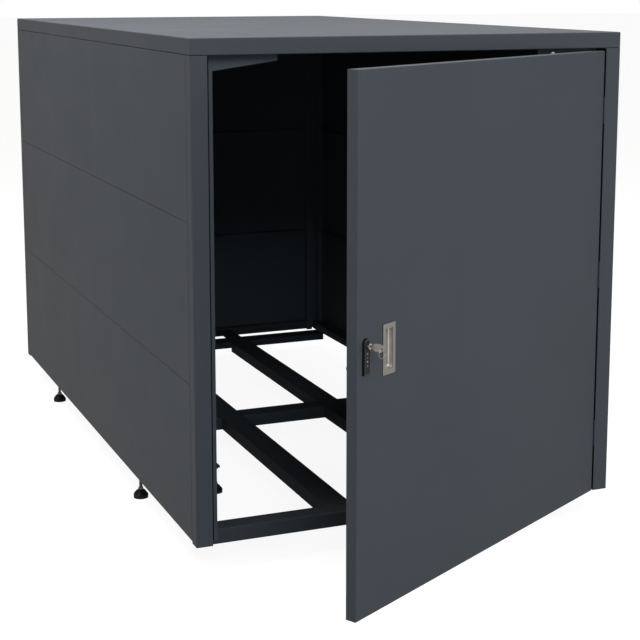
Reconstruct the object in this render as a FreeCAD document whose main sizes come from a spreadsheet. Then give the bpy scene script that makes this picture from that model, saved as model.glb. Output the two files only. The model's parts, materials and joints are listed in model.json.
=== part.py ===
import FreeCAD, Part
import math
import os
import Sketcher

os.makedirs("parts", exist_ok=True)
doc = FreeCAD.newDocument("BicycleLocker")

# Driving sizes, in millimetres and degrees
SIZES = (
    # The whole locker: ground clearance, then the body from the post feet to the roof
    ("overall_width", 1200.0),
    ("overall_depth", 2150.0),
    ("body_height", 1270.0),
    ("ground_clearance", 80.0),
    # Tray roof with a fascia all round and a lip turned in below
    ("roof_depth", 42.0),
    ("roof_sheet", 1.5),
    ("roof_lip", 18.0),
    ("roof_bend", 3.0),
    ("rib_crown", 44.0),
    ("rib_flange", 18.0),
    ("rib_depth", 25.0),
    ("rib_end_gap", 4.0),
    # Folded corner posts
    ("post_face", 44.0),
    ("post_reveal", 30.0),
    ("post_stop", 21.0),
    ("post_leg", 39.0),
    ("post_return", 20.0),
    ("post_sheet", 2.0),
    ("post_bend", 2.5),
    # Header over the doorway and its two gussets, the right one with a bolt
    ("header_depth", 30.0),
    ("tube_wall", 2.0),
    ("tube_round", 3.0),
    ("gusset_sheet", 3.0),
    ("gusset_length", 190.0),
    ("gusset_drop", 42.0),
    ("gusset_tip", 16.5),
    ("gusset_upstand", 36.0),
    ("bolt_radius", 4.0),
    ("bolt_hole_gap", 0.5),
    ("bolt_head_radius", 7.0),
    ("bolt_head_height", 3.0),
    ("bolt_length", 13.0),
    ("bolt_inset", 190.0),
    ("bolt_drop", 16.0),
    ("bolt_nut_flats", 13.0),
    ("bolt_nut_height", 6.5),
    # Tray panels of the walls
    ("panel_sheet", 1.5),
    ("panel_depth", 20.0),
    ("panel_bend", 2.0),
    ("wall_rise", 4.0),
    ("back_panel_gap", 0.5),
    # Rails inside the bottom edge of the walls
    ("rail_width", 40.0),
    ("rail_height", 30.0),
    # Open base frame, which hangs a little below the posts
    ("frame_drop", 10.0),
    ("frame_height", 40.0),
    ("sill_depth", 58.0),
    ("wheel_rail_width", 72.0),
    ("wheel_rail_offset", 177.0),
    ("mid_place", 962.0),
    ("mid_depth", 66.0),
    ("rear_setback", 236.0),
    ("rear_depth", 73.0),
    ("rear_height", 25.0),
    ("rear_inset", 75.0),
    ("tab_width", 56.0),
    ("tab_thickness", 6.0),
    ("arm_end", 253.0),
    ("arm_width", 40.0),
    ("arm_place", 600.0),
    ("arm_sheet", 6.0),
    ("arm_gap", 0.5),
    # Levelling feet
    ("foot_inset", 30.0),
    ("front_foot_place", 640.0),
    ("back_foot_setback", 416.0),
    ("inner_foot_inset", 244.0),
    ("pad_radius", 21.5),
    ("pad_rim", 8.0),
    ("pad_shoulder", 14.0),
    ("pad_skirt", 15.0),
    ("pad_height", 24.0),
    ("pad_neck", 9.5),
    ("stem_radius", 5.0),
    ("stem_fit", 0.05),
    ("stem_flats", 13.0),
    ("stem_collar", 7.0),
    ("stem_engagement", 22.0),
    ("arm_stem_end", 2.0),
    ("foot_nut_flats", 16.0),
    ("foot_nut_height", 8.0),
    # Door leaf
    ("door_angle", 30.05),
    ("door_gap", 3.0),
    ("door_head_gap", 7.0),
    ("door_depth", 28.0),
    ("door_sheet", 1.5),
    ("door_return", 20.0),
    ("door_bend", 2.0),
    ("stiffener_crown", 50.0),
    ("stiffener_flange", 18.0),
    ("stiffener_depth", 20.0),
    ("stiffener_end_gap", 4.0),
    ("stiffener_near", 330.0),
    ("stiffener_far", 700.0),
    # Leaf hinges in the gap at the right post
    ("knuckle_radius", 3.2),
    ("pin_radius", 1.6),
    ("pin_fit", 0.05),
    ("pin_head_radius", 2.6),
    ("pin_head_height", 1.5),
    ("hinge_clearance", 0.3),
    ("leaf_sheet", 1.2),
    ("leaf_depth", 24.0),
    ("hinge_height", 70.0),
    ("middle_knuckle", 24.0),
    ("hinge_low", 166.0),
    ("hinge_drop", 159.0),
    # Flush pull: a plate with a box-shaped dish that is undercut on the hinge side
    ("pull_inset", 118.0),
    ("pull_low", 544.0),
    ("pull_width", 47.0),
    ("pull_height", 116.0),
    ("pull_sheet", 1.5),
    ("pull_corner", 2.0),
    ("dish_opening", 27.0),
    ("dish_undercut", 4.0),
    ("dish_height", 93.0),
    ("dish_depth", 14.0),
    ("dish_wall", 1.2),
    ("dish_corner", 6.0),
    ("dish_bottom_round", 5.0),
    ("dish_mouth_corner", 4.0),
    ("cutout_gap", 0.5),
    # Combination lock
    ("lock_inset", 30.0),
    ("lock_low", 560.5),
    ("lock_width", 22.0),
    ("lock_height", 81.0),
    ("lock_thickness", 6.0),
    ("lock_edge_round", 1.0),
    ("plug_drop", 5.0),
    ("housing_width", 18.0),
    ("housing_depth", 12.0),
    ("housing_wall", 1.3),
    ("barrel_length", 32.5),
    ("lock_nut_flats", 24.0),
    ("lock_nut_height", 6.0),
    ("dial_flats", 15.0),
    ("dial_height", 6.4),
    ("dial_pitch", 9.1),
    ("dial_drop", 17.1),
    ("dial_proud", 0.6),
    ("dial_gap", 0.3),
    ("spindle_radius", 2.0),
    ("turning_fit", 0.05),
    ("collar_radius", 6.2),
    ("collar_height", 8.2),
    ("plug_radius", 4.7),
    ("plug_recess", 0.5),
    ("keyway_depth", 24.0),
    ("keyway_gap", 0.1),
    ("cam_width", 16.0),
    ("cam_length", 36.0),
    ("cam_sheet", 2.5),
    ("cam_clearance", 0.5),
    ("tail_square", 6.0),
    ("tail_end", 2.0),
    # Key and split ring
    ("key_sheet", 2.0),
    ("blade_height", 7.0),
    ("blade_length", 21.0),
    ("blade_point", 1.2),
    ("key_stand_off", 0.4),
    ("neck_height", 8.0),
    ("bow_start", 19.6),
    ("bow_tip", 48.6),
    ("bow_height", 18.0),
    ("bow_round", 8.8),
    ("eye_reach", 44.0),
    ("eye_radius", 2.2),
    ("ring_radius", 10.3),
    ("ring_wire", 0.8),
    ("ring_gap", 0.3),
)

# Counts of what repeats
PANEL_TIERS = ("lower", "middle", "upper")
ROOF_RIBS = 3
DIALS = 4
DIAL_FACETS = 10

# Depths of the key's cuts, from the bow to the tip, as shares of the blade's height
KEY_CUTS = (0.28, 0.36, 0.20, 0.28)

# Half the mouth of a key cut, as a share of the spacing between cuts
KEY_CUT_HALF = 0.3

# How far a measured coordinate may lie from a wanted one
CLOSE = 0.001

sheet = doc.addObject("Spreadsheet::Sheet", "Sizes")
for row, (name, value) in enumerate(SIZES, start=1):
    sheet.set("A%d" % row, name)
    sheet.set("B%d" % row, str(value))
    sheet.setAlias("B%d" % row, name)
doc.recompute()


class Length:
    """A size with its value and the sheet formula that gives it."""

    def __init__(self, value, formula):
        self.value = value
        self.formula = formula

    def __add__(self, other):
        other = length(other)
        return Length(self.value + other.value, "(%s + %s)" % (self.formula, other.formula))

    def __sub__(self, other):
        other = length(other)
        return Length(self.value - other.value, "(%s - %s)" % (self.formula, other.formula))

    def __mul__(self, other):
        other = length(other)
        return Length(self.value * other.value, "(%s * %s)" % (self.formula, other.formula))

    def __truediv__(self, other):
        other = length(other)
        return Length(self.value / other.value, "(%s / %s)" % (self.formula, other.formula))

    def __neg__(self):
        return Length(-self.value, "(0 - %s)" % self.formula)

    __radd__ = __add__
    __rmul__ = __mul__


def length(value):
    """Gives a plain number the form of a Length."""
    if isinstance(value, Length):
        return value
    return Length(float(value), repr(float(value)))


def size(name):
    """Reads one driving size from the sheet."""
    return Length(float(sheet.get(name)), "Sizes." + name)


def sine(angle):
    return Length(math.sin(math.radians(angle.value)), "sin(%s)" % angle.formula)


def cosine(angle):
    return Length(math.cos(math.radians(angle.value)), "cos(%s)" % angle.formula)


# Sub-parts made so far, each with the number of solids that it holds
pieces = []
cuts = []


def new_piece(label, x, y, z, turn=None, solids=1):
    """Starts a sub-part's body at a place in the locker's frame, turned about the upright axis."""
    body = doc.addObject("PartDesign::Body", label)
    body.Label = label
    body.AllowCompound = True
    for axis, value in zip("xyz", (x, y, z)):
        body.setExpression(".Placement.Base." + axis, length(value).formula)
    if turn is not None:
        body.setExpression(".Placement.Rotation.Angle", length(turn).formula)
    pieces.append((body, solids))
    return body


def origin_feature(body, role):
    return next(item for item in body.Origin.OriginFeatures if item.Role == role)


def drawing(body, plane, at=0):
    """Starts a sketch parallel to an origin plane, at a distance along that plane's positive axis."""
    sketch = body.newObject("Sketcher::SketchObject", body.Label + "_sketch")
    sketch.AttachmentSupport = [(origin_feature(body, plane), "")]
    sketch.MapMode = "FlatFace"
    offset = length(at)
    if plane == "XZ_Plane":
        offset = -offset
    sketch.setExpression("AttachmentOffset.Base.z", offset.formula)
    return sketch


def lies_on(sketch, plane):
    return sketch.AttachmentSupport[0][0].Role == plane


def point_of(pair):
    return FreeCAD.Vector(length(pair[0]).value, length(pair[1]).value, 0)


def tie(sketch, curve, end, kind, value):
    """Ties one coordinate of a curve's point to its distance from the sketch's origin."""
    value = length(value)
    index = sketch.addConstraint(Sketcher.Constraint(kind, -1, 1, curve, end, value.value))
    if "Sizes." in value.formula:
        sketch.setExpression("Constraints[%d]" % index, value.formula)


def tie_point(sketch, curve, end, pair):
    tie(sketch, curve, end, "DistanceX", pair[0])
    tie(sketch, curve, end, "DistanceY", pair[1])


def outline(sketch, points):
    """Draws a closed outline of straight lines."""
    first = sketch.GeometryCount
    count = len(points)
    for k in range(count):
        line = Part.LineSegment(point_of(points[k]), point_of(points[(k + 1) % count]))
        sketch.addGeometry(line, False)
    for k in range(count):
        following = first + (k + 1) % count
        sketch.addConstraint(Sketcher.Constraint("Coincident", first + k, 2, following, 1))
        tie_point(sketch, first + k, 1, points[k])


def rectangle(sketch, low, high):
    outline(sketch, [low, (high[0], low[1]), high, (low[0], high[1])])


def circle(sketch, centre, radius):
    radius = length(radius)
    round_curve = Part.Circle(point_of(centre), FreeCAD.Vector(0, 0, 1), radius.value)
    index = sketch.addGeometry(round_curve, False)
    tie_point(sketch, index, 3, centre)
    constraint = sketch.addConstraint(Sketcher.Constraint("Radius", index, radius.value))
    sketch.setExpression("Constraints[%d]" % constraint, radius.formula)


def regular_outline(sketch, centre, flats, sides, first_angle):
    """Draws a regular outline of so many sides, as wide across its flats as is asked."""
    radius = length(flats) / (2 * math.cos(math.pi / sides))
    corners = []
    for k in range(sides):
        angle = math.radians(first_angle + 360.0 * k / sides)
        corners.append((centre[0] + radius * math.cos(angle), centre[1] + radius * math.sin(angle)))
    outline(sketch, corners)


def arched_outline(sketch, middle, low, high, radius, flat_base):
    """Draws an upright outline with a half-round top at high and a half-round or flat base at low."""
    across = FreeCAD.Vector(0, 0, 1)
    left_x = middle - radius
    right_x = middle + radius
    first = sketch.GeometryCount
    sketch.addGeometry(Part.LineSegment(point_of((right_x, low)), point_of((right_x, high))), False)
    top = Part.Circle(point_of((middle, high)), across, radius.value)
    sketch.addGeometry(Part.ArcOfCircle(top, 0, math.pi), False)
    sketch.addGeometry(Part.LineSegment(point_of((left_x, high)), point_of((left_x, low))), False)
    if flat_base:
        base_line = Part.LineSegment(point_of((left_x, low)), point_of((right_x, low)))
        sketch.addGeometry(base_line, False)
    else:
        bottom = Part.Circle(point_of((middle, low)), across, radius.value)
        sketch.addGeometry(Part.ArcOfCircle(bottom, math.pi, 2 * math.pi), False)
    for k in range(4):
        following = first + (k + 1) % 4
        sketch.addConstraint(Sketcher.Constraint("Coincident", first + k, 2, following, 1))
    tie_point(sketch, first, 2, (right_x, high))
    tie_point(sketch, first + 1, 3, (middle, high))
    tie(sketch, first + 1, 2, "DistanceY", high)
    tie_point(sketch, first + 2, 2, (left_x, low))
    if flat_base:
        tie_point(sketch, first, 1, (right_x, low))
    else:
        tie_point(sketch, first + 3, 3, (middle, low))
        tie(sketch, first, 1, "DistanceY", low)


def add(body, sketch, depth):
    """Adds material from a sketch towards the positive axis of its plane."""
    pad = body.newObject("PartDesign::Pad", body.Label + "_pad")
    pad.Profile = sketch
    pad.Reversed = lies_on(sketch, "XZ_Plane")
    pad.setExpression("Length", length(depth).formula)
    return pad


def cut(body, sketch, depth):
    """Cuts material from a sketch towards the positive axis of its plane."""
    pocket = body.newObject("PartDesign::Pocket", body.Label + "_cut")
    pocket.Profile = sketch
    pocket.Reversed = not lies_on(sketch, "XZ_Plane")
    pocket.setExpression("Length", length(depth).formula)
    cuts.append(pocket)
    return pocket


def revolve(body, sketch, axis):
    turned = body.newObject("PartDesign::Revolution", body.Label + "_turned")
    turned.Profile = sketch
    turned.ReferenceAxis = (origin_feature(body, axis), [""])
    turned.Angle = 360
    return turned


def mirror_across_middle(body, originals):
    """Repeats features on the other side of the locker's middle plane."""
    mirrored = body.newObject("PartDesign::Mirrored", body.Label + "_mirrored")
    mirrored.Originals = originals
    mirrored.MirrorPlane = (origin_feature(body, "YZ_Plane"), [""])
    body.Tip = mirrored


def bend(body, radius, wanted):
    """Rounds the edges of the last feature that a test picks."""
    doc.recompute()
    base = body.Tip
    names = ["Edge%d" % (k + 1) for k, edge in enumerate(base.Shape.Edges) if wanted(edge)]
    if not names:
        raise ValueError("no edge to round on " + body.Label)
    fillet = body.newObject("PartDesign::Fillet", body.Label + "_bend")
    fillet.Base = (base, names)
    fillet.setExpression("Radius", length(radius).formula)


def runs_along(edge, axis):
    """Says whether an edge is straight and parallel to axis 0, 1 or 2."""
    if not isinstance(edge.Curve, Part.Line):
        return False
    return abs(abs(edge.Curve.Direction[axis]) - 1) < CLOSE


def at_plane(edge, axis, value):
    """Says whether an edge lies wholly at one coordinate on axis 0, 1 or 2."""
    box = edge.BoundBox
    low = (box.XMin, box.YMin, box.ZMin)[axis]
    high = (box.XMax, box.YMax, box.ZMax)[axis]
    wanted = length(value).value
    return abs(low - wanted) < CLOSE and abs(high - wanted) < CLOSE


def rounded_rectangle(sketch, low, high, radius):
    """Draws a rectangle with four equal round corners."""
    across = FreeCAD.Vector(0, 0, 1)
    x_centres = (low[0] + radius, high[0] - radius)
    y_centres = (low[1] + radius, high[1] - radius)
    sides = (
        ((x_centres[0], low[1]), (x_centres[1], low[1])),
        ((high[0], y_centres[0]), (high[0], y_centres[1])),
        ((x_centres[1], high[1]), (x_centres[0], high[1])),
        ((low[0], y_centres[1]), (low[0], y_centres[0])),
    )
    centres = ((x_centres[1], y_centres[0]), (x_centres[1], y_centres[1]),
               (x_centres[0], y_centres[1]), (x_centres[0], y_centres[0]))
    first = sketch.GeometryCount
    for k in range(4):
        start, end = sides[k]
        sketch.addGeometry(Part.LineSegment(point_of(start), point_of(end)), False)
        corner = Part.Circle(point_of(centres[k]), across, radius.value)
        turn_start = math.pi / 2 * (k - 1)
        sketch.addGeometry(Part.ArcOfCircle(corner, turn_start, turn_start + math.pi / 2), False)
    for k in range(4):
        line = first + 2 * k
        following = first + 2 * ((k + 1) % 4)
        sketch.addConstraint(Sketcher.Constraint("Coincident", line, 2, line + 1, 1))
        sketch.addConstraint(Sketcher.Constraint("Coincident", line + 1, 2, following, 1))
        tie_point(sketch, line, 1, sides[k][0])
        tie_point(sketch, line, 2, sides[k][1])
        tie(sketch, line + 1, 3, "DistanceX", centres[k][0])


def hollow_bar(body, plane, at, span, low, high, wall):
    """Adds a tube with rounded edges between two corners of its section."""
    radius = size("tube_round")
    low = (length(low[0]), length(low[1]))
    high = (length(high[0]), length(high[1]))
    sketch = drawing(body, plane, at)
    rounded_rectangle(sketch, low, high, radius)
    inner_low = (low[0] + wall, low[1] + wall)
    inner_high = (high[0] - wall, high[1] - wall)
    rounded_rectangle(sketch, inner_low, inner_high, radius - wall)
    return add(body, sketch, span)


def hat_outline(sketch, middle, seat, crown, flange, depth, gauge, outward):
    """Draws a hat profile whose two flanges lie on a seat line, with the crown to one side."""
    inner_left = middle - crown / 2
    inner_right = middle + crown / 2
    path = [
        (inner_left - flange, 0), (inner_left + gauge, 0), (inner_left + gauge, depth - gauge),
        (inner_right - gauge, depth - gauge), (inner_right - gauge, 0), (inner_right + flange, 0),
        (inner_right + flange, gauge), (inner_right, gauge), (inner_right, depth),
        (inner_left, depth), (inner_left, gauge), (inner_left - flange, gauge),
    ]
    outline(sketch, [(across, seat + length(height) * outward) for across, height in path])


# Lines of the locker's frame: the origin lies on the ground, in the middle of the space that the
# locker takes up with its door ajar
width = size("overall_width")
depth = size("overall_depth")
left = -width / 2
right = width / 2
base = size("ground_clearance")
post_height = size("body_height") - size("roof_depth")
roof_base = base + post_height

# The hinge axis stands in the gap beside the right post, just proud of the door's outer face
edge_gap = size("door_gap") / 2
door_face = size("knuckle_radius") + size("hinge_clearance")
hinge_x = right - size("post_face") - edge_gap
door_width = width - size("post_face") * 2 - size("door_gap") * 2
door_height = post_height - size("door_head_gap")
door_angle = size("door_angle")

# The free side of the key ring reaches furthest forward
lock_x = -(edge_gap + door_width - size("lock_inset"))
ring_side_x = lock_x - size("ring_radius")
eye_y = door_face - size("eye_reach")
ring_forward = ring_side_x * sine(door_angle) + eye_y * cosine(door_angle) - size("ring_wire")
front_reach = ring_forward - door_face
front = -(depth + front_reach) / 2
back = front + depth
hinge_y = front - door_face


def make_roof():
    """Tray roof: a skin, a fascia and a lip turned in under it."""
    sheet_gauge = size("roof_sheet")
    lip = size("roof_lip")
    roof_depth = size("roof_depth")
    body = new_piece("roof_panel", left, front, roof_base)
    tray = drawing(body, "XY_Plane")
    rectangle(tray, (0, 0), (width, depth))
    add(body, tray, roof_depth)
    hollow = drawing(body, "XY_Plane", sheet_gauge)
    rectangle(hollow, (sheet_gauge, sheet_gauge), (width - sheet_gauge, depth - sheet_gauge))
    cut(body, hollow, roof_depth - sheet_gauge * 2)
    mouth = drawing(body, "XY_Plane")
    rectangle(mouth, (lip, lip), (width - lip, depth - lip))
    cut(body, mouth, sheet_gauge)

    def outer_edge(edge):
        on_side = at_plane(edge, 0, 0) or at_plane(edge, 0, width)
        on_end = at_plane(edge, 1, 0) or at_plane(edge, 1, depth)
        upright = runs_along(edge, 2) and on_side and on_end
        level = at_plane(edge, 2, roof_depth) or at_plane(edge, 2, 0)
        return upright or (level and (on_side or on_end))

    bend(body, size("roof_bend"), outer_edge)


def make_roof_ribs():
    """Hat channels under the roof skin, spaced evenly from front to back."""
    gauge = size("roof_sheet")
    end_gap = gauge + size("rib_end_gap")
    body = new_piece("roof_ribs", left, front, roof_base, solids=ROOF_RIBS)
    sketch = drawing(body, "YZ_Plane", end_gap)
    spacing = depth / (ROOF_RIBS + 1)
    hat_outline(sketch, spacing, size("roof_depth") - gauge, size("rib_crown"),
                size("rib_flange"), size("rib_depth"), gauge, -1)
    rib = add(body, sketch, width - end_gap * 2)
    pattern = body.newObject("PartDesign::LinearPattern", "roof_ribs_pattern")
    pattern.Originals = [rib]
    pattern.Direction = (origin_feature(body, "Y_Axis"), [""])
    pattern.Mode = "Spacing"
    pattern.setExpression("Offset", spacing.formula)
    pattern.Occurrences = ROOF_RIBS
    body.Tip = pattern


def make_post(label, side, inward_y, y):
    """Folded corner post: side leg with a return, face, reveal and stop flange."""
    face = size("post_face")
    reveal = size("post_reveal")
    leg = size("post_leg")
    gauge = size("post_sheet")
    stop = face + size("post_stop")
    returned = size("post_return")
    body = new_piece(label, right if side > 0 else left, y, base)
    sketch = drawing(body, "XY_Plane")
    path = [
        (stop, reveal), (face, reveal), (face, 0), (0, 0), (0, leg), (returned, leg),
        (returned, leg - gauge), (gauge, leg - gauge), (gauge, gauge), (face - gauge, gauge),
        (face - gauge, reveal + gauge), (stop, reveal + gauge),
    ]
    outline(sketch, [(length(a) * -side, length(b) * inward_y) for a, b in path])
    add(body, sketch, post_height)

    def outer_fold(edge):
        if not runs_along(edge, 2):
            return False
        corners = ((0, 0), (face * -side, 0), (0, leg * inward_y))
        return any(at_plane(edge, 0, a) and at_plane(edge, 1, b) for a, b in corners)

    bend(body, size("post_bend"), outer_fold)


def make_header():
    """Tube over the doorway, between the side lips of the roof and behind the gussets."""
    start = size("post_reveal") + size("post_sheet") + size("gusset_sheet")
    end_gap = size("roof_lip") + size("rib_end_gap")
    body = new_piece("header_rail", 0, front, roof_base)
    hollow_bar(body, "YZ_Plane", left + end_gap, width - end_gap * 2, (start, length(0)),
               (start + size("header_depth"), size("roof_depth") - size("roof_sheet")),
               size("tube_wall"))


def make_gusset(label, side):
    """Tapered plate behind the stop flange, which ties the post to the header."""
    thickness = size("gusset_sheet")
    post_edge = size("post_face")
    end = post_edge + size("gusset_length")
    back_of_flange = front + size("post_reveal") + size("post_sheet")
    body = new_piece(label, right if side > 0 else left, back_of_flange, roof_base)
    sketch = drawing(body, "XZ_Plane")
    corners = [
        (post_edge, -size("gusset_drop")), (end, -size("gusset_tip")),
        (end, size("gusset_upstand")), (post_edge, size("gusset_upstand")),
    ]
    outline(sketch, [(across * -side, height) for across, height in corners])
    add(body, sketch, thickness)
    if side > 0:
        hole = drawing(body, "XZ_Plane")
        circle(hole, (-size("bolt_inset"), -size("bolt_drop")),
               size("bolt_radius") + size("bolt_hole_gap"))
        cut(body, hole, thickness)


def make_gusset_bolt():
    """Low-headed bolt with its nut through the gusset on the hinge side."""
    head = size("bolt_head_height")
    face = size("post_reveal") + size("post_sheet")
    body = new_piece("gusset_bolt", 0, front, roof_base - size("bolt_drop"), solids=2)
    centre = (right - size("bolt_inset"), length(0))
    head_sketch = drawing(body, "XZ_Plane", face - head)
    circle(head_sketch, centre, size("bolt_head_radius"))
    add(body, head_sketch, head)
    shank = drawing(body, "XZ_Plane", face)
    circle(shank, centre, size("bolt_radius"))
    add(body, shank, size("bolt_length"))
    nut = drawing(body, "XZ_Plane", face + size("gusset_sheet"))
    regular_outline(nut, centre, size("bolt_nut_flats"), 6, 0)
    circle(nut, centre, size("bolt_radius") + size("stem_fit"))
    add(body, nut, size("bolt_nut_height"))


def make_side_panel(label, side, tier):
    """Tray panel of a side wall, between the side legs of the posts."""
    gauge = size("panel_sheet")
    run = depth - size("post_leg") * 2
    pitch = (post_height - size("wall_rise")) / len(PANEL_TIERS)
    z = base + size("wall_rise") + pitch * tier
    if side > 0:
        body = new_piece(label, right, back - size("post_leg"), z, turn=180)
    else:
        body = new_piece(label, left, front + size("post_leg"), z)
    tray = drawing(body, "YZ_Plane")
    rectangle(tray, (0, 0), (run, pitch))
    add(body, tray, size("panel_depth"))
    hollow = drawing(body, "YZ_Plane", gauge)
    rectangle(hollow, (gauge, gauge), (run - gauge, pitch - gauge))
    cut(body, hollow, size("panel_depth") - gauge)
    bend(body, size("panel_bend"), lambda edge: at_plane(edge, 0, 0))


def make_back_panel(label, tier):
    """Tray panel of the back wall, between the reveals of the rear posts."""
    gauge = size("panel_sheet")
    tray_depth = size("post_reveal")
    side_gap = size("post_face") + size("back_panel_gap")
    run = width - side_gap * 2
    pitch = (post_height - size("wall_rise")) / len(PANEL_TIERS)
    body = new_piece(label, left + side_gap, back - tray_depth, base + size("wall_rise") + pitch * tier)
    tray = drawing(body, "XZ_Plane")
    rectangle(tray, (0, 0), (run, pitch))
    add(body, tray, tray_depth)
    hollow = drawing(body, "XZ_Plane")
    rectangle(hollow, (gauge, gauge), (run - gauge, pitch - gauge))
    cut(body, hollow, tray_depth - gauge)
    bend(body, size("panel_bend"), lambda edge: at_plane(edge, 1, tray_depth))


# The rails of the walls stand on the bottom flanges of the lower trays
rail_base = size("wall_rise") + size("panel_sheet")
rail_reach = size("panel_sheet") + size("rail_width")
back_foot_place = depth - size("back_foot_setback")


def make_side_rail(label, side):
    """Tube in the foot of a side wall, with two holes for the stems of the feet."""
    gauge = size("panel_sheet")
    start = size("post_leg") + gauge
    body = new_piece(label, right if side > 0 else left, front, base + rail_base)
    sections = sorted(((gauge * -side), (rail_reach * -side)), key=lambda edge: edge.value)
    hollow_bar(body, "XZ_Plane", start, depth - start * 2, (sections[0], length(0)),
               (sections[1], size("rail_height")), size("tube_wall"))
    holes = drawing(body, "XY_Plane")
    for place in (size("front_foot_place"), back_foot_place):
        circle(holes, (size("foot_inset") * -side, place), size("stem_radius") + size("stem_fit"))
    cut(body, holes, size("tube_wall"))


def make_rear_rail():
    """Tube in the foot of the back wall."""
    side_gap = size("post_face") + size("back_panel_gap") + size("panel_sheet")
    body = new_piece("rear_base_rail", 0, back, base + rail_base)
    hollow_bar(body, "YZ_Plane", left + side_gap, width - side_gap * 2,
               (-size("post_reveal"), length(0)), (-size("panel_sheet"), size("rail_height")),
               size("tube_wall"))


# Levels of the base frame, measured from the feet of the posts
frame_low = -size("frame_drop")
frame_top = size("frame_height") - size("frame_drop")
sill_front = size("post_reveal") + size("post_sheet")
sill_back = sill_front + size("sill_depth")
rear_place = depth - size("rear_setback")
wheel_rail_near = size("wheel_rail_offset") - size("wheel_rail_width") / 2
wheel_rail_far = size("wheel_rail_offset") + size("wheel_rail_width") / 2


def make_front_sill():
    body = new_piece("front_sill", 0, front, base)
    hollow_bar(body, "YZ_Plane", left + rail_reach, width - rail_reach * 2, (sill_front, frame_low),
               (sill_back, frame_top), size("tube_wall"))


def make_wheel_rail(label, side):
    body = new_piece(label, 0, front, base)
    sections = sorted((wheel_rail_near * side, wheel_rail_far * side), key=lambda edge: edge.value)
    hollow_bar(body, "XZ_Plane", sill_back, rear_place - sill_back,
               (sections[0], frame_low), (sections[1], frame_top), size("tube_wall"))


def make_cross_mid():
    """Middle cross-member in three lengths, between the side rails and the wheel rails."""
    body = new_piece("cross_mid", 0, front, base, solids=3)
    low = (size("mid_place"), frame_low)
    high = (size("mid_place") + size("mid_depth"), frame_top)
    hollow_bar(body, "YZ_Plane", -wheel_rail_near, wheel_rail_near * 2, low, high, size("tube_wall"))
    outer_run = right - rail_reach - wheel_rail_far
    outer = hollow_bar(body, "YZ_Plane", wheel_rail_far, outer_run, low, high, size("tube_wall"))
    mirror_across_middle(body, [outer])


def make_cross_rear():
    body = new_piece("cross_rear", 0, front, base)
    hollow_bar(body, "YZ_Plane", left + size("rear_inset"), width - size("rear_inset") * 2,
               (rear_place, frame_top - size("rear_height")),
               (rear_place + size("rear_depth"), frame_top), size("tube_wall"))


def make_frame_tabs():
    """Flat bars from the rear cross-member to the rail in the back wall."""
    start = rear_place + size("rear_depth")
    middle = size("wheel_rail_offset")
    half = size("tab_width") / 2
    body = new_piece("frame_tabs", 0, front, base, solids=2)
    sketch = drawing(body, "XZ_Plane", start)
    rectangle(sketch, (middle - half, frame_top - size("tab_thickness")), (middle + half, frame_top))
    tab = add(body, sketch, depth - size("post_reveal") - start)
    mirror_across_middle(body, [tab])


arm_low = rail_base - size("arm_sheet")


def make_foot_arms():
    """Flat bars under the side rails, which reach inwards to carry the inner feet."""
    half = size("arm_width") / 2
    start = size("panel_depth") + size("arm_gap")
    body = new_piece("foot_arms", 0, front, base, solids=2)
    sketch = drawing(body, "XY_Plane", arm_low)
    rectangle(sketch, (right - size("arm_end"), size("arm_place") - half),
              (right - start, size("arm_place") + half))
    circle(sketch, (right - size("inner_foot_inset"), size("arm_place")),
           size("stem_radius") + size("stem_fit"))
    arm = add(body, sketch, size("arm_sheet"))
    mirror_across_middle(body, [arm])


# Where the feet stand: a name, the inset from the side, the place from the front, the underside
# of what the stem is screwed into and the stem's length above that
FEET = (
    ("front", size("foot_inset"), size("front_foot_place"), base + rail_base, size("stem_engagement")),
    ("back", size("foot_inset"), back_foot_place, base + rail_base, size("stem_engagement")),
    ("inner", size("inner_foot_inset"), size("arm_place"), base + arm_low,
     size("arm_sheet") + size("arm_stem_end")),
)


def make_foot(name, side, inset, place, seat, engagement):
    """Bell-shaped pad and threaded stem with a hexagon collar."""
    x = (right - inset) if side > 0 else (left + inset)
    side_name = "right" if side > 0 else "left"
    pad_body = new_piece("foot_%s_%s_pad" % (name, side_name), x, front + place, 0)
    profile = drawing(pad_body, "XZ_Plane")
    outline(profile, [
        (0, 0), (size("pad_radius"), 0), (size("pad_radius"), size("pad_rim")),
        (size("pad_shoulder"), size("pad_skirt")), (size("pad_neck"), size("pad_height")),
        (0, size("pad_height")),
    ])
    revolve(pad_body, profile, "Z_Axis")
    stem_body = new_piece("foot_%s_%s_stem" % (name, side_name), x, front + place, size("pad_height"))
    collar = drawing(stem_body, "XY_Plane")
    regular_outline(collar, (length(0), length(0)), size("stem_flats"), 6, 0)
    add(stem_body, collar, size("stem_collar"))
    shank = drawing(stem_body, "XY_Plane", size("stem_collar"))
    circle(shank, (0, 0), size("stem_radius"))
    top = seat + engagement - size("pad_height")
    add(stem_body, shank, top - size("stem_collar"))


def make_foot_lock_nuts():
    """One hexagon nut under the rail or arm at each foot."""
    body = new_piece("foot_lock_nuts", 0, front, 0, solids=2 * len(FEET))
    nuts = []
    for name, inset, place, seat, engagement in FEET:
        sketch = drawing(body, "XY_Plane", seat - size("foot_nut_height"))
        centre = (right - inset, place)
        regular_outline(sketch, centre, size("foot_nut_flats"), 6, 30)
        circle(sketch, centre, size("stem_radius") + size("stem_fit"))
        nuts.append(add(body, sketch, size("foot_nut_height")))
    mirror_across_middle(body, nuts)


def new_door_piece(label, solids=1):
    """Starts a sub-part in the door's frame: the hinge axis, with the door running to the left."""
    return new_piece(label, hinge_x, hinge_y, base, turn=door_angle, solids=solids)


def door_x(place):
    """Turns a distance from the door's hinge edge into the door's frame."""
    return -(edge_gap + place)


# The cylinder stands a little below the middle of the lock's arch
arch_centre = size("lock_low") + size("lock_height") - size("lock_width") / 2
plug_z = arch_centre - size("plug_drop")

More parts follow.
